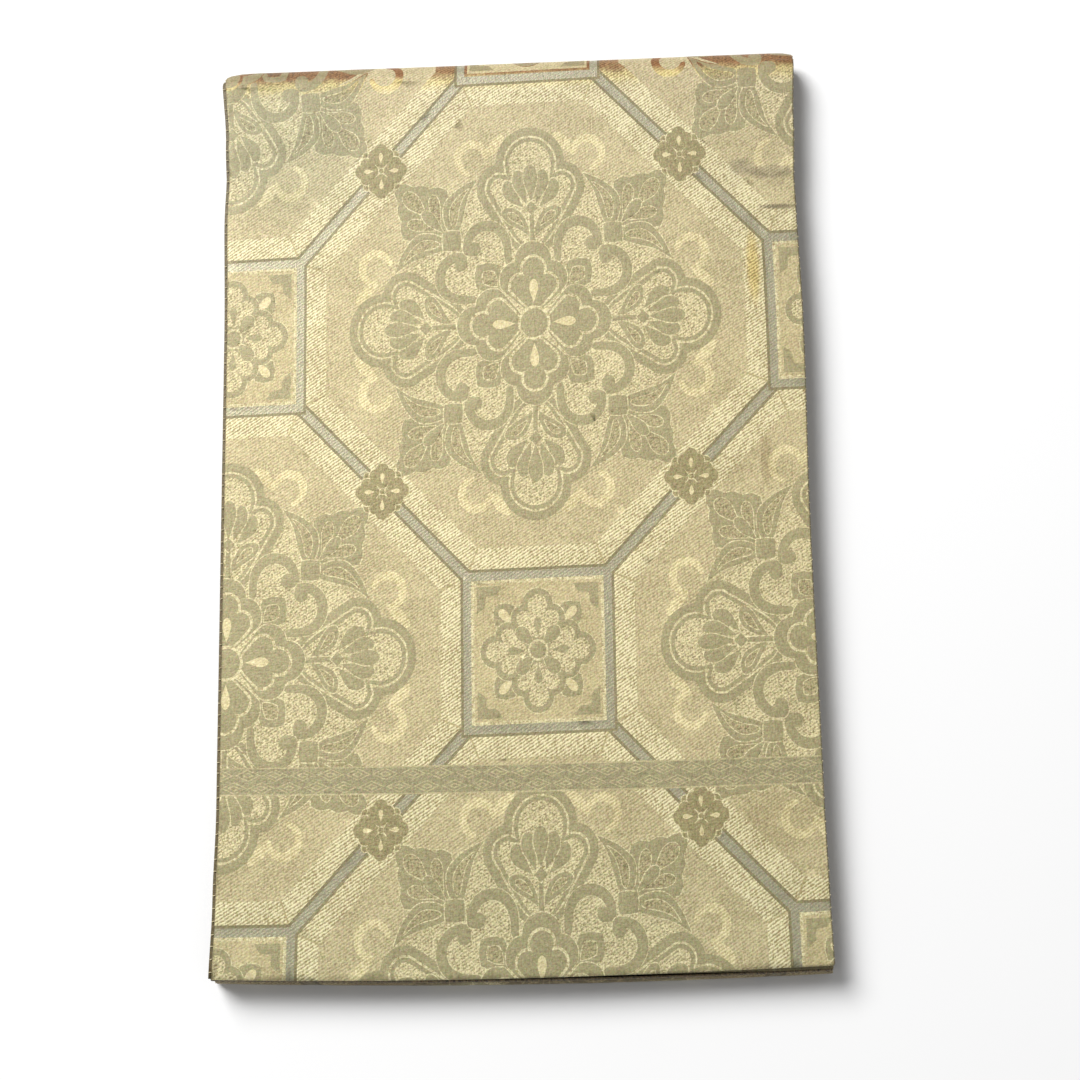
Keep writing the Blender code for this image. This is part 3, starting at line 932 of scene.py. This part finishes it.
def octagon(depth):
    """The octagon round a medallion, drawn in from the lattice lines by depth."""
    side = PITCH_X - SQUARE_HALF - depth
    lean = PITCH_X - depth * math.sqrt(2) - side
    half = [(side, -lean), (side, lean), (lean, side), (-lean, side)]
    return half + [(-x, -y) for x, y in half]


def lattice_cell(kind):
    """The woven shapes of one lattice cell, about its own centre, in three layers."""
    if kind == "octagon":
        lines = [("mitre", bar(a, b, 0.09)) for a, b in zip(octagon(0.30), octagon(1.38))]
        bands = [("ground", octagon(0.0)), ("stripe", octagon(0.30)), ("ground", octagon(1.38))]
        return bands + lines, [], medallion()
    near, far = SQUARE_HALF, PITCH_X - SQUARE_HALF
    bars = [("edge", box(SQUARE_HALF + 0.34)), ("silver", box(SQUARE_HALF + 0.20))]
    for side in (1, -1):
        bars.append(("edge", bar((side * near, near), (side * far, far), 0.70)))
        bars.append(("silver", bar((side * near, near), (side * far, far), 0.42)))
    return [], bars, [("silver", box(SQUARE_HALF + 0.20))] + square_flower()


# Where the woven pattern has crept as the cloth lies: height up the cloth, shift up, shift across
PATTERN_CREEP = (
    (-24.0, 0.15, -0.05),
    (-12.0, 0.00, 0.00),
    (-4.0, -0.05, 0.00),
    (5.5, -0.20, 0.052),
    (13.0, -0.10, 0.052),
    (23.0, 0.28, -0.15),
    (26.0, 0.30, -0.15),
)
PATTERN_X, PATTERN_Y = 1.19, -8.00
LEAN_X, LEAN_Y = 0.043, 0.356


def creep(y, column):
    """How far the pattern has crept at height y; column 1 is up the cloth and 2 across it."""
    if y <= PATTERN_CREEP[0][0]:
        return PATTERN_CREEP[0][column]
    for low, high in zip(PATTERN_CREEP, PATTERN_CREEP[1:]):
        if y <= high[0]:
            return low[column] + (high[column] - low[column]) * (y - low[0]) / (high[0] - low[0])
    return PATTERN_CREEP[-1][column]


def on_cloth(i, j, x, y):
    """A drawn point of lattice cell i, j as centimetres across and up the cloth."""
    u, v = i + x / PITCH_X, j + y / PITCH_X
    across = PITCH_X * u + LEAN_X * v + PATTERN_X
    up = LEAN_Y * u + PITCH_Y * v + PATTERN_Y
    return across + creep(up, 2), up + creep(up, 1)


BAND_LOW, BAND_HIGH = -15.14, -13.87
BAND_RIM = 0.08
BAND_REACH = 20.0
DIAMOND_PITCH = 1.42


def end_band():
    """The narrow woven band near the finished end: two rows of diamonds inside each other."""
    middle, row_half = (BAND_LOW + BAND_HIGH) / 2, (BAND_HIGH - BAND_LOW) / 4
    shapes = []
    for thread, half in (("band_line", 2 * row_half + BAND_RIM), ("band", 2 * row_half)):
        shapes.append((thread, bar((-BAND_REACH, middle), (BAND_REACH, middle), 2 * half)))
    for row in (-1, 1):
        for number in range(-12, 13):
            x, y = (number + 0.25 * row) * DIAMOND_PITCH, middle + row * row_half
            for thread, share in (("band_line", 0.96), ("band", 0.80), ("band_line", 0.46), ("band", 0.26)):
                reach_x, reach_y = share * DIAMOND_PITCH / 2, share * row_half
                corners = [(x - reach_x, y), (x, y - reach_y), (x + reach_x, y), (x, y + reach_y)]
                shapes.append((thread, corners))
    return shapes


def pattern_between(low, high, half):
    """All the shapes that cross the cloth between two heights, in weaving order."""
    cells = {kind: lattice_cell(kind) for kind in ("octagon", "square")}
    little = small_flower()
    layers = [[], [], [], []]
    for j in range(-3, 9):
        for i in range(-2, 4):
            if not low - 13.0 < j * PITCH_Y + PATTERN_Y < high + 13.0:
                continue
            cell = cells["octagon" if (i + j) % 2 else "square"]
            for number in range(3):
                for thread, outline in cell[number]:
                    layers[number].append((thread, [on_cloth(i, j, x, y) for x, y in outline]))
            for thread, outline in little:
                layers[3].append((thread, [on_cloth(i + 0.5, j + 0.5, x, y) for x, y in outline]))
    if low < BAND_LOW:
        layers[3] += end_band()
    kept = []
    for layer in layers:
        for thread, outline in layer:
            ups = [y for x, y in outline]
            acrosses = [x for x, y in outline]
            if max(ups) > low and min(ups) < high and max(acrosses) > -half and min(acrosses) < half:
                kept.append((thread, outline))
    return kept


# How far each thread stands above the ground weave, in metres
RELIEF = {
    "ground": 0.0, "stripe": 0.00006, "mitre": 0.00004, "edge": 0.0, "silver": -0.00004,
    "cream": 0.00008, "cream_bright": 0.00012, "olive": 0.00020, "fleck": 0.00003, "hatch": 0.00008,
    "soft": 0.00007, "satin": 0.0, "band": 0.00006, "band_line": 0.00009, "dark_olive": 0.00020,
}
THREADS = ("ground", "stripe", "mitre", "edge", "silver", "cream", "cream_bright", "olive", "fleck",
           "hatch", "soft", "satin", "band", "band_line", "dark_olive")
FACE_LEFT = CLOTH_WIDTH / 2 - 0.0018
FACE_RIGHT = CLOTH_WIDTH / 2 - 0.0005
ROLL = (math.pi / 2) * EDGE_RADIUS + 0.0004
CM = 100.0
EASE_REACH = 0.0012


def rolled(distance):
    """How a cloth edge turns under: reach and depth, distance past where its roll begins."""
    if distance <= 0.0:
        return distance, 0.0
    angle = min(math.pi / 2, distance / EDGE_RADIUS)
    below = max(0.0, distance - EDGE_RADIUS * math.pi / 2)
    return EDGE_RADIUS * math.sin(angle), EDGE_RADIUS * (1.0 - math.cos(angle)) + below


def face_point(across, run, turned_end, relief):
    """A point of the face cloth, with its sides and its finished end turned under."""
    side = FACE_RIGHT if across > 0 else FACE_LEFT
    past_side, side_depth = rolled(abs(across) - (side - EDGE_RADIUS))
    x = math.copysign(side - EDGE_RADIUS + past_side, across)
    if turned_end and run < EDGE_RADIUS:
        past_end, end_depth = rolled(EDGE_RADIUS - run)
        return wrap_point(x, EDGE_RADIUS - past_end, max(side_depth, end_depth))
    # round the underside the threads stand inwards, so that the sash still rests flat
    sunk = RELIEF["olive"] * max(0.0, -wrap_line(run)[3])
    return wrap_point(x, run, side_depth + sunk - relief)


# How closely the map's lines and its inner points lie, in centimetres, and the rows round each fold
LINE_STEP = 0.8
GRID_STEP = 0.45
FAR_ROWS = 28
NEAR_ROWS = 14


def fold_rows(run_from, run_to):
    """Where rows of the map cross the cloth: close together round the folds."""
    rows = [WRAP_TOP_RUN + FAR_FOLD_RUN * step / FAR_ROWS for step in range(FAR_ROWS + 1)]
    near = WRAP_TOP_RUN + FAR_FOLD_RUN + UNDERSIDE_RUN
    rows += [near + NEAR_ARC_RUN * step / NEAR_ROWS for step in range(NEAR_ROWS + 1)]
    return [run for run in rows if run_from + 1e-6 < run < run_to - 1e-6]


def eased(heights, flat, faces):
    """Relief evened out between points that lie close together, as cloth has no sharp steps."""
    totals, weights = list(heights), [1.0] * len(heights)
    for corners in faces:
        for a, b in zip(corners, corners[1:] + corners[:1]):
            share = max(0.0, 1.0 - math.dist(flat[a], flat[b]) / EASE_REACH)
            totals[a] += share * heights[b]
            totals[b] += share * heights[a]
            weights[a] += share
            weights[b] += share
    return [total / weight for total, weight in zip(totals, weights)]


def height_up(run):
    """The drawing's height, in centimetres, of a place along the cloth."""
    return (TOP_END_Y + run) * CM


def brocade_sheet(name, run_from, run_to, turned_end):
    """One stretch of face cloth as a map of its woven threads, laid on the wrap."""
    half = (CLOTH_WIDTH / 2 + ROLL) * CM
    low = height_up(run_from - (ROLL if turned_end else 0.0))
    high = height_up(run_to)
    left = -(FACE_LEFT - EDGE_RADIUS + ROLL) * CM
    right = (FACE_RIGHT - EDGE_RADIUS + ROLL) * CM
    outlines = [("outside", [(left, low), (right, low), (right, high), (left, high)])]
    outlines += pattern_between(low, high, half)
    points, faces, edges = [], [], []
    for thread, outline in outlines:
        start = len(points)
        count = 0
        for a, b in zip(outline, outline[1:] + outline[:1]):
            pieces = max(1, round(math.dist(a, b) / LINE_STEP))
            for k in range(pieces):
                points.append(Vector((a[0] + (b[0] - a[0]) * k / pieces, a[1] + (b[1] - a[1]) * k / pieces)))
                count += 1
        faces.append(list(range(start, start + count)))

    def row(a, b):
        """A straight line of the map that the threads are cut along."""
        edges.append((len(points), len(points) + 1))
        points.extend((Vector(a), Vector(b)))

    for far_run in fold_rows(run_from, run_to):
        row((left, height_up(far_run)), (right, height_up(far_run)))
    for step in range(5):
        inward = ROLL * step / 4 * CM
        row((left + inward, low), (left + inward, high))
        row((right - inward, low), (right - inward, high))
        if turned_end:
            row((left, low + inward), (right, low + inward))
    across_count = int((right - left) / GRID_STEP)
    for k in range(1, across_count):
        for m in range(1, int((high - low) / GRID_STEP)):
            points.append(Vector((left + k * GRID_STEP, low + m * GRID_STEP)))
    verts, _, triangles, _, _, origins = delaunay_2d_cdt(points, edges, faces, 0, 1e-4, True)
    used = {}
    kept, slots = [], []
    for triangle, origin in zip(triangles, origins):
        if 0 not in origin:
            continue
        for corner in triangle:
            used.setdefault(corner, len(used))
        kept.append(tuple(used[corner] for corner in triangle))
        slots.append(THREADS.index(outlines[max(origin)][0]) if max(origin) else 0)
    flat = [(verts[old].x / CM, verts[old].y / CM - TOP_END_Y) for old in used]
    raised, shared = [0.0] * len(flat), [0] * len(flat)
    for triangle, slot in zip(kept, slots):
        for corner in triangle:
            raised[corner] += RELIEF[THREADS[slot]]
            shared[corner] += 1
    heights = [total / count for total, count in zip(raised, shared)]
    for _ in range(2):
        heights = eased(heights, flat, kept)
    mesh = bpy.data.meshes.new(name)
    points = [face_point(x, run, turned_end, heights[k]) for k, (x, run) in enumerate(flat)]
    mesh.from_pydata(points, [], kept)
    mesh.polygons.foreach_set("material_index", slots)
    mesh.polygons.foreach_set("use_smooth", [True] * len(kept))
    made = bpy.data.objects.new(name, mesh)
    bpy.context.scene.collection.objects.link(made)
    cloth_uv(made, flat)
    for thread in THREADS:
        mesh.materials.append(brocade[thread])
    return made


def silk(name, dark, light, **settings):
    """One kind of brocade thread."""
    return weave_material("brocade_" + name, linear(*dark), linear(*light), **settings)


# threads given a strength for the far fold take the painted brown reflection and painted yellow glint there
# that strongly
brocade = {
    "ground": silk("ground", (160, 147, 108), (232, 218, 175), hatch=0.36, grain=0.60, patchy=0.85),
    "stripe": silk("stripe", (162, 146, 102), (255, 246, 204), hatch=0.72, grain=0.6, patchy=0.9, wear=0.8),
    "mitre": silk("mitre", (158, 144, 102), (218, 204, 156), hatch=0.3, grain=0.6, wear=0.6),
    "edge": silk("edge", (122, 112, 80), (168, 158, 120), hatch=0.2, grain=0.6, wear=0.4),
    "silver": silk("silver", (150, 145, 122), (196, 190, 162), hatch=0.3, grain=0.5, shine=0.3, rough=0.42),
    "cream": silk("cream", (164, 148, 104), (255, 246, 202), hatch=0.1, grain=0.9, wear=0.9),
    "cream_bright": silk("cream_bright", (198, 182, 134), (252, 240, 196), hatch=0.1, grain=0.7, wear=0.9),
    "olive": silk("olive", (142, 133, 96), (196, 186, 146), hatch=0.08, grain=0.62, wear=0.2),
    "dark_olive": silk("dark_olive", (132, 121, 82), (188, 176, 132), hatch=0.1, grain=0.75, wear=0.2),
    "fleck": silk("fleck", (150, 138, 98), (248, 235, 190), hatch=0.35, grain=0.75, fleck=0.35, wear=0.85),
    "hatch": silk("hatch", (134, 124, 88), (208, 195, 152), hatch=0.2, grain=0.85, fleck=0.25, wear=0.8),
    "soft": silk("soft", (184, 169, 122), (255, 242, 196), hatch=0.5, grain=0.6, patchy=1.0, wear=0.9),
    "satin": silk("satin", (166, 153, 112), (232, 217, 172), hatch=0.22, grain=0.6, patchy=0.8),
    "band": silk("band", (140, 132, 100), (189, 180, 142), hatch=0.1, grain=0.7),
    "band_line": silk("band_line", (168, 158, 118), (222, 210, 168), hatch=0.1, grain=0.7),
}

TOP_RUN_END = WRAP_TOP_RUN + FAR_FOLD_RUN
face_below = brocade_sheet("brocade_underside_and_near_fold", TOP_RUN_END, WRAP_RUN, False)
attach(face_below, "root")
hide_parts("face_underside", "face_near_fold")

# ------------------------------------------------------------------------------------------
# Top layer and far fold of the brocade: the face that shows, from its turned and blind-stitched
# end, with the woven band near it, up to the fold and round it. Air caught under the layer and
# creases from storage leave it softly uneven.
# ------------------------------------------------------------------------------------------
face_above = brocade_sheet("brocade_top_and_far_fold", 0.0, TOP_RUN_END, True)
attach(face_above, "root")
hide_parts("face_top", "face_far_fold")

# ------------------------------------------------------------------------------------------
# Seam stitches: light silk whip stitches that hold face cloth and back cloth together along
# every long side, about 6 mm apart. Each is a short bar of thread laid over the seam, a little
# uneven in length and slant because they are sewn by hand.
# ------------------------------------------------------------------------------------------
STITCH_PITCH = 0.0061
STITCH_LENGTH = 0.0021
STITCH_WIDTH = 0.00055
STITCH_SEED = 11
STITCH_SHORTEST, STITCH_LONGEST = 0.75, 1.15
SEAM_DEPTH = 0.0009
UNDER_SEAM_DEPTH = 0.0016
INNER_STITCH_SHARE = 0.75
INNER_STITCH_START = 0.004

# Where the outer wrap's stitches sit: side, distance out from the middle, lean
WRAP_SEAMS = ((-1, FACE_LEFT + 0.0007, -0.95), (1, FACE_RIGHT + 0.0002, 0.25))


def stitch_thread():
    """The light twisted silk of the hand stitches."""
    made = bpy.data.materials.new("stitch_silk")
    made.use_nodes = True
    nodes, links = made.node_tree.nodes, made.node_tree.links
    shader = nodes["Principled BSDF"]
    shader.inputs["Roughness"].default_value = 0.45
    place = nodes.new("ShaderNodeTexCoord")
    twist = nodes.new("ShaderNodeTexNoise")
    twist.inputs["Scale"].default_value = 900.0
    tint = nodes.new("ShaderNodeMix")
    tint.data_type = "RGBA"
    tint.inputs[6].default_value = (*linear(206, 190, 146), 1.0)
    tint.inputs[7].default_value = (*linear(252, 242, 206), 1.0)
    links.new(place.outputs["Object"], twist.inputs["Vector"])
    links.new(twist.outputs["Fac"], tint.inputs[0])
    links.new(tint.outputs[2], shader.inputs["Base Color"])
    return made


def stitch_tree():
    """Geometry nodes that sew one bar of thread at every point, turned as the point says."""
    tree = bpy.data.node_groups.new("whip_stitches", "GeometryNodeTree")
    tree.interface.new_socket("Points", in_out="INPUT", socket_type="NodeSocketGeometry")
    for label, kind, value in (
        ("Stitch length", "NodeSocketFloat", STITCH_LENGTH),
        ("Stitch width", "NodeSocketFloat", STITCH_WIDTH),
        ("Seed", "NodeSocketInt", STITCH_SEED),
        ("Thread", "NodeSocketMaterial", None),
    ):
        socket = tree.interface.new_socket(label, in_out="INPUT", socket_type=kind)
        if value is not None:
            socket.default_value = value
    tree.interface.new_socket("Stitches", in_out="OUTPUT", socket_type="NodeSocketGeometry")
    nodes, links = tree.nodes, tree.links
    given, result = nodes.new("NodeGroupInput"), nodes.new("NodeGroupOutput")
    bar_of_thread = nodes.new("GeometryNodeMeshUVSphere")
    bar_of_thread.inputs["Segments"].default_value = 6
    bar_of_thread.inputs["Rings"].default_value = 4
    bar_of_thread.inputs["Radius"].default_value = 0.5
    size = nodes.new("ShaderNodeCombineXYZ")
    links.new(given.outputs["Stitch width"], size.inputs["X"])
    links.new(given.outputs["Stitch width"], size.inputs["Y"])
    links.new(given.outputs["Stitch length"], size.inputs["Z"])
    shaped = nodes.new("GeometryNodeTransform")
    links.new(bar_of_thread.outputs["Mesh"], shaped.inputs["Geometry"])
    links.new(size.outputs[0], shaped.inputs["Scale"])
    turn = nodes.new("GeometryNodeInputNamedAttribute")
    turn.data_type = "FLOAT_VECTOR"
    turn.inputs["Name"].default_value = "turn"
    uneven = nodes.new("FunctionNodeRandomValue")
    uneven.data_type = "FLOAT"
    for socket in uneven.inputs:
        if socket.name == "Min" and socket.type == "VALUE":
            socket.default_value = STITCH_SHORTEST
        if socket.name == "Max" and socket.type == "VALUE":
            socket.default_value = STITCH_LONGEST
    links.new(given.outputs["Seed"], uneven.inputs["Seed"])
    sewn = nodes.new("GeometryNodeInstanceOnPoints")
    links.new(given.outputs["Points"], sewn.inputs["Points"])
    links.new(shaped.outputs["Geometry"], sewn.inputs["Instance"])
    links.new(turn.outputs["Attribute"], sewn.inputs["Rotation"])
    links.new(next(s for s in uneven.outputs if s.type == "VALUE"), sewn.inputs["Scale"])
    real = nodes.new("GeometryNodeRealizeInstances")
    links.new(sewn.outputs["Instances"], real.inputs["Geometry"])
    finish = nodes.new("GeometryNodeSetMaterial")
    links.new(real.outputs["Geometry"], finish.inputs["Geometry"])
    links.new(given.outputs["Thread"], finish.inputs["Material"])
    links.new(finish.outputs["Geometry"], result.inputs["Stitches"])
    return tree


def sew(name, places, turns, tree, thread, length):
    """Sew one stitch at every place and make the result one plain mesh piece."""
    mesh = bpy.data.meshes.new(name)
    mesh.from_pydata(places, [], [])
    mesh.attributes.new("turn", "FLOAT_VECTOR", "POINT").data.foreach_set(
        "vector", [value for turn in turns for value in turn]
    )
    seam = bpy.data.objects.new(name + "_seam", mesh)
    bpy.context.scene.collection.objects.link(seam)
    modifier = seam.modifiers.new("stitches", "NODES")
    modifier.node_group = tree
    sockets = {item.name: item.identifier for item in tree.interface.items_tree if item.in_out == "INPUT"}
    modifier[sockets["Stitch length"]] = length
    modifier[sockets["Stitch width"]] = STITCH_WIDTH
    modifier[sockets["Seed"]] = STITCH_SEED
    modifier[sockets["Thread"]] = thread
    evaluated = seam.evaluated_get(bpy.context.evaluated_depsgraph_get())
    plain = bpy.data.meshes.new_from_object(evaluated)
    plain.name = name
    plain.polygons.foreach_set("use_smooth", [True] * len(plain.polygons))
    if not plain.materials:
        plain.materials.append(thread)
    bpy.data.objects.remove(seam)
    made = bpy.data.objects.new(name, plain)
    bpy.context.scene.collection.objects.link(made)
    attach(made, "root")
    return made


def normal_angle(normal_y, normal_z):
    """The turn about X that points a stitch's depth along the cloth's own normal."""
    return math.atan2(-normal_y, normal_z)


whip = stitch_tree()
silk_thread = stitch_thread()
places, turns = [], []
for side, edge, lean in WRAP_SEAMS:
    for number in range(int(WRAP_RUN / STITCH_PITCH)):
        uneven_pitch = 0.0009 * noise.noise(Vector((number * 0.9, side * 3.1, 0.0)))
        run = (number + 0.6) * STITCH_PITCH + uneven_pitch
        slant = 0.5 * noise.noise(Vector((number * 1.7, side * 5.3, 2.0)))
        y, z, normal_y, normal_z = wrap_line(run)
        below = normal_z <= -0.5
        places.append(wrap_point(side * edge, run, UNDER_SEAM_DEPTH if below else SEAM_DEPTH))
        turns.append((normal_angle(normal_y, normal_z) + slant, -lean if below else lean, 0.0))
wrap_stitches = sew("wrap_stitches", places, turns, whip, silk_thread, STITCH_LENGTH)

places, turns = [], []
next_stitch = INNER_STITCH_START
walked = 0.0
for number in range(1, len(ribbon_points)):
    (y0, z0), (y1, z1) = ribbon_points[number - 1], ribbon_points[number]
    span = math.dist((y0, z0), (y1, z1))
    while walked + span > next_stitch:
        part = (next_stitch - walked) / span
        y, z = y0 + (y1 - y0) * part, z0 + (z1 - z0) * part
        shift = side_shift(next_stitch)
        angle = normal_angle(-(z1 - z0) / span, (y1 - y0) / span)
        for side in (-1, 1):
            slant = 0.6 * noise.noise(Vector((next_stitch * 300.0, side * 4.4, 1.0)))
            places.append(lay(side * (RIBBON_WIDTH / 2 - 0.0001) + shift, y, z))
            turns.append((angle + slant, 0.0, 0.0))
        uneven_pitch = 0.25 * noise.noise(Vector((next_stitch * 70.0, 0.0, 6.0)))
        next_stitch += STITCH_PITCH * (1.0 + uneven_pitch)
    walked += span
inner_length = STITCH_LENGTH * INNER_STITCH_SHARE
ribbon_stitches = sew("ribbon_stitches", places, turns, whip, silk_thread, inner_length)

# ------------------------------------------------------------------------------------------
# Floor, studio light and camera: white paper under the sash, one large soft box up on the left
# beyond it, an even white surround, and a camera that looks down on it from nearly overhead.
# ------------------------------------------------------------------------------------------
FLOOR_HALF = 3
PAPER_WHITE = 0.93
SURROUND_STRENGTH = 0.27
SOFT_BOX_PLACE = (-2.10, 2.45, 3.20)
SOFT_BOX_SIZE = 2.3
SOFT_BOX_POWER = 272.0

floor_mesh = bpy.data.meshes.new("floor")
floor_corners = [(x * FLOOR_HALF, y * FLOOR_HALF, 0) for x, y in ((-1, -1), (1, -1), (1, 1), (-1, 1))]
floor_mesh.from_pydata(floor_corners, [], [(0, 1, 2, 3)])
floor = bpy.data.objects.new("floor", floor_mesh)
bpy.context.scene.collection.objects.link(floor)
paper = bpy.data.materials.new("floor_paper")
paper.use_nodes = True
paper_shader = paper.node_tree.nodes["Principled BSDF"]
paper_shader.inputs["Base Color"].default_value = (PAPER_WHITE, PAPER_WHITE, PAPER_WHITE, 1.0)
paper_shader.inputs["Roughness"].default_value = 0.9
floor_mesh.materials.append(paper)

world = bpy.data.worlds.new("studio")
bpy.context.scene.world = world
world.use_nodes = True
world.node_tree.nodes["Background"].inputs["Color"].default_value = (1.0, 1.0, 1.0, 1.0)
world.node_tree.nodes["Background"].inputs["Strength"].default_value = SURROUND_STRENGTH


def soft_light(name, place, size, power):
    """A square soft box aimed at the sash."""
    data = bpy.data.lights.new(name, "AREA")
    data.size = size
    data.energy = power
    made = bpy.data.objects.new(name, data)
    made.location = place
    made.rotation_euler = (-Vector(place)).to_track_quat("-Z", "Y").to_euler()
    bpy.context.scene.collection.objects.link(made)


soft_light("key_light", SOFT_BOX_PLACE, SOFT_BOX_SIZE, SOFT_BOX_POWER)

camera_data = bpy.data.cameras.new("camera")
camera_data.lens = 61.67
camera_data.sensor_width = 36.0
camera_data.clip_start = 0.01
camera = bpy.data.objects.new("camera", camera_data)
camera.location = (0.0582, -0.2128, 0.9653)
camera_back = Vector((0.04587, -0.19648, 0.97943))
camera_up = Vector((0.02735, 0.98035, 0.19539))
camera_right = camera_up.cross(camera_back).normalized()
camera_up = camera_back.cross(camera_right).normalized()
camera_turn = Matrix((camera_right, camera_up, camera_back.normalized())).transposed()
camera.rotation_euler = camera_turn.to_euler()
bpy.context.scene.collection.objects.link(camera)
bpy.context.scene.camera = camera
bpy.context.scene.view_settings.view_transform = "Standard"
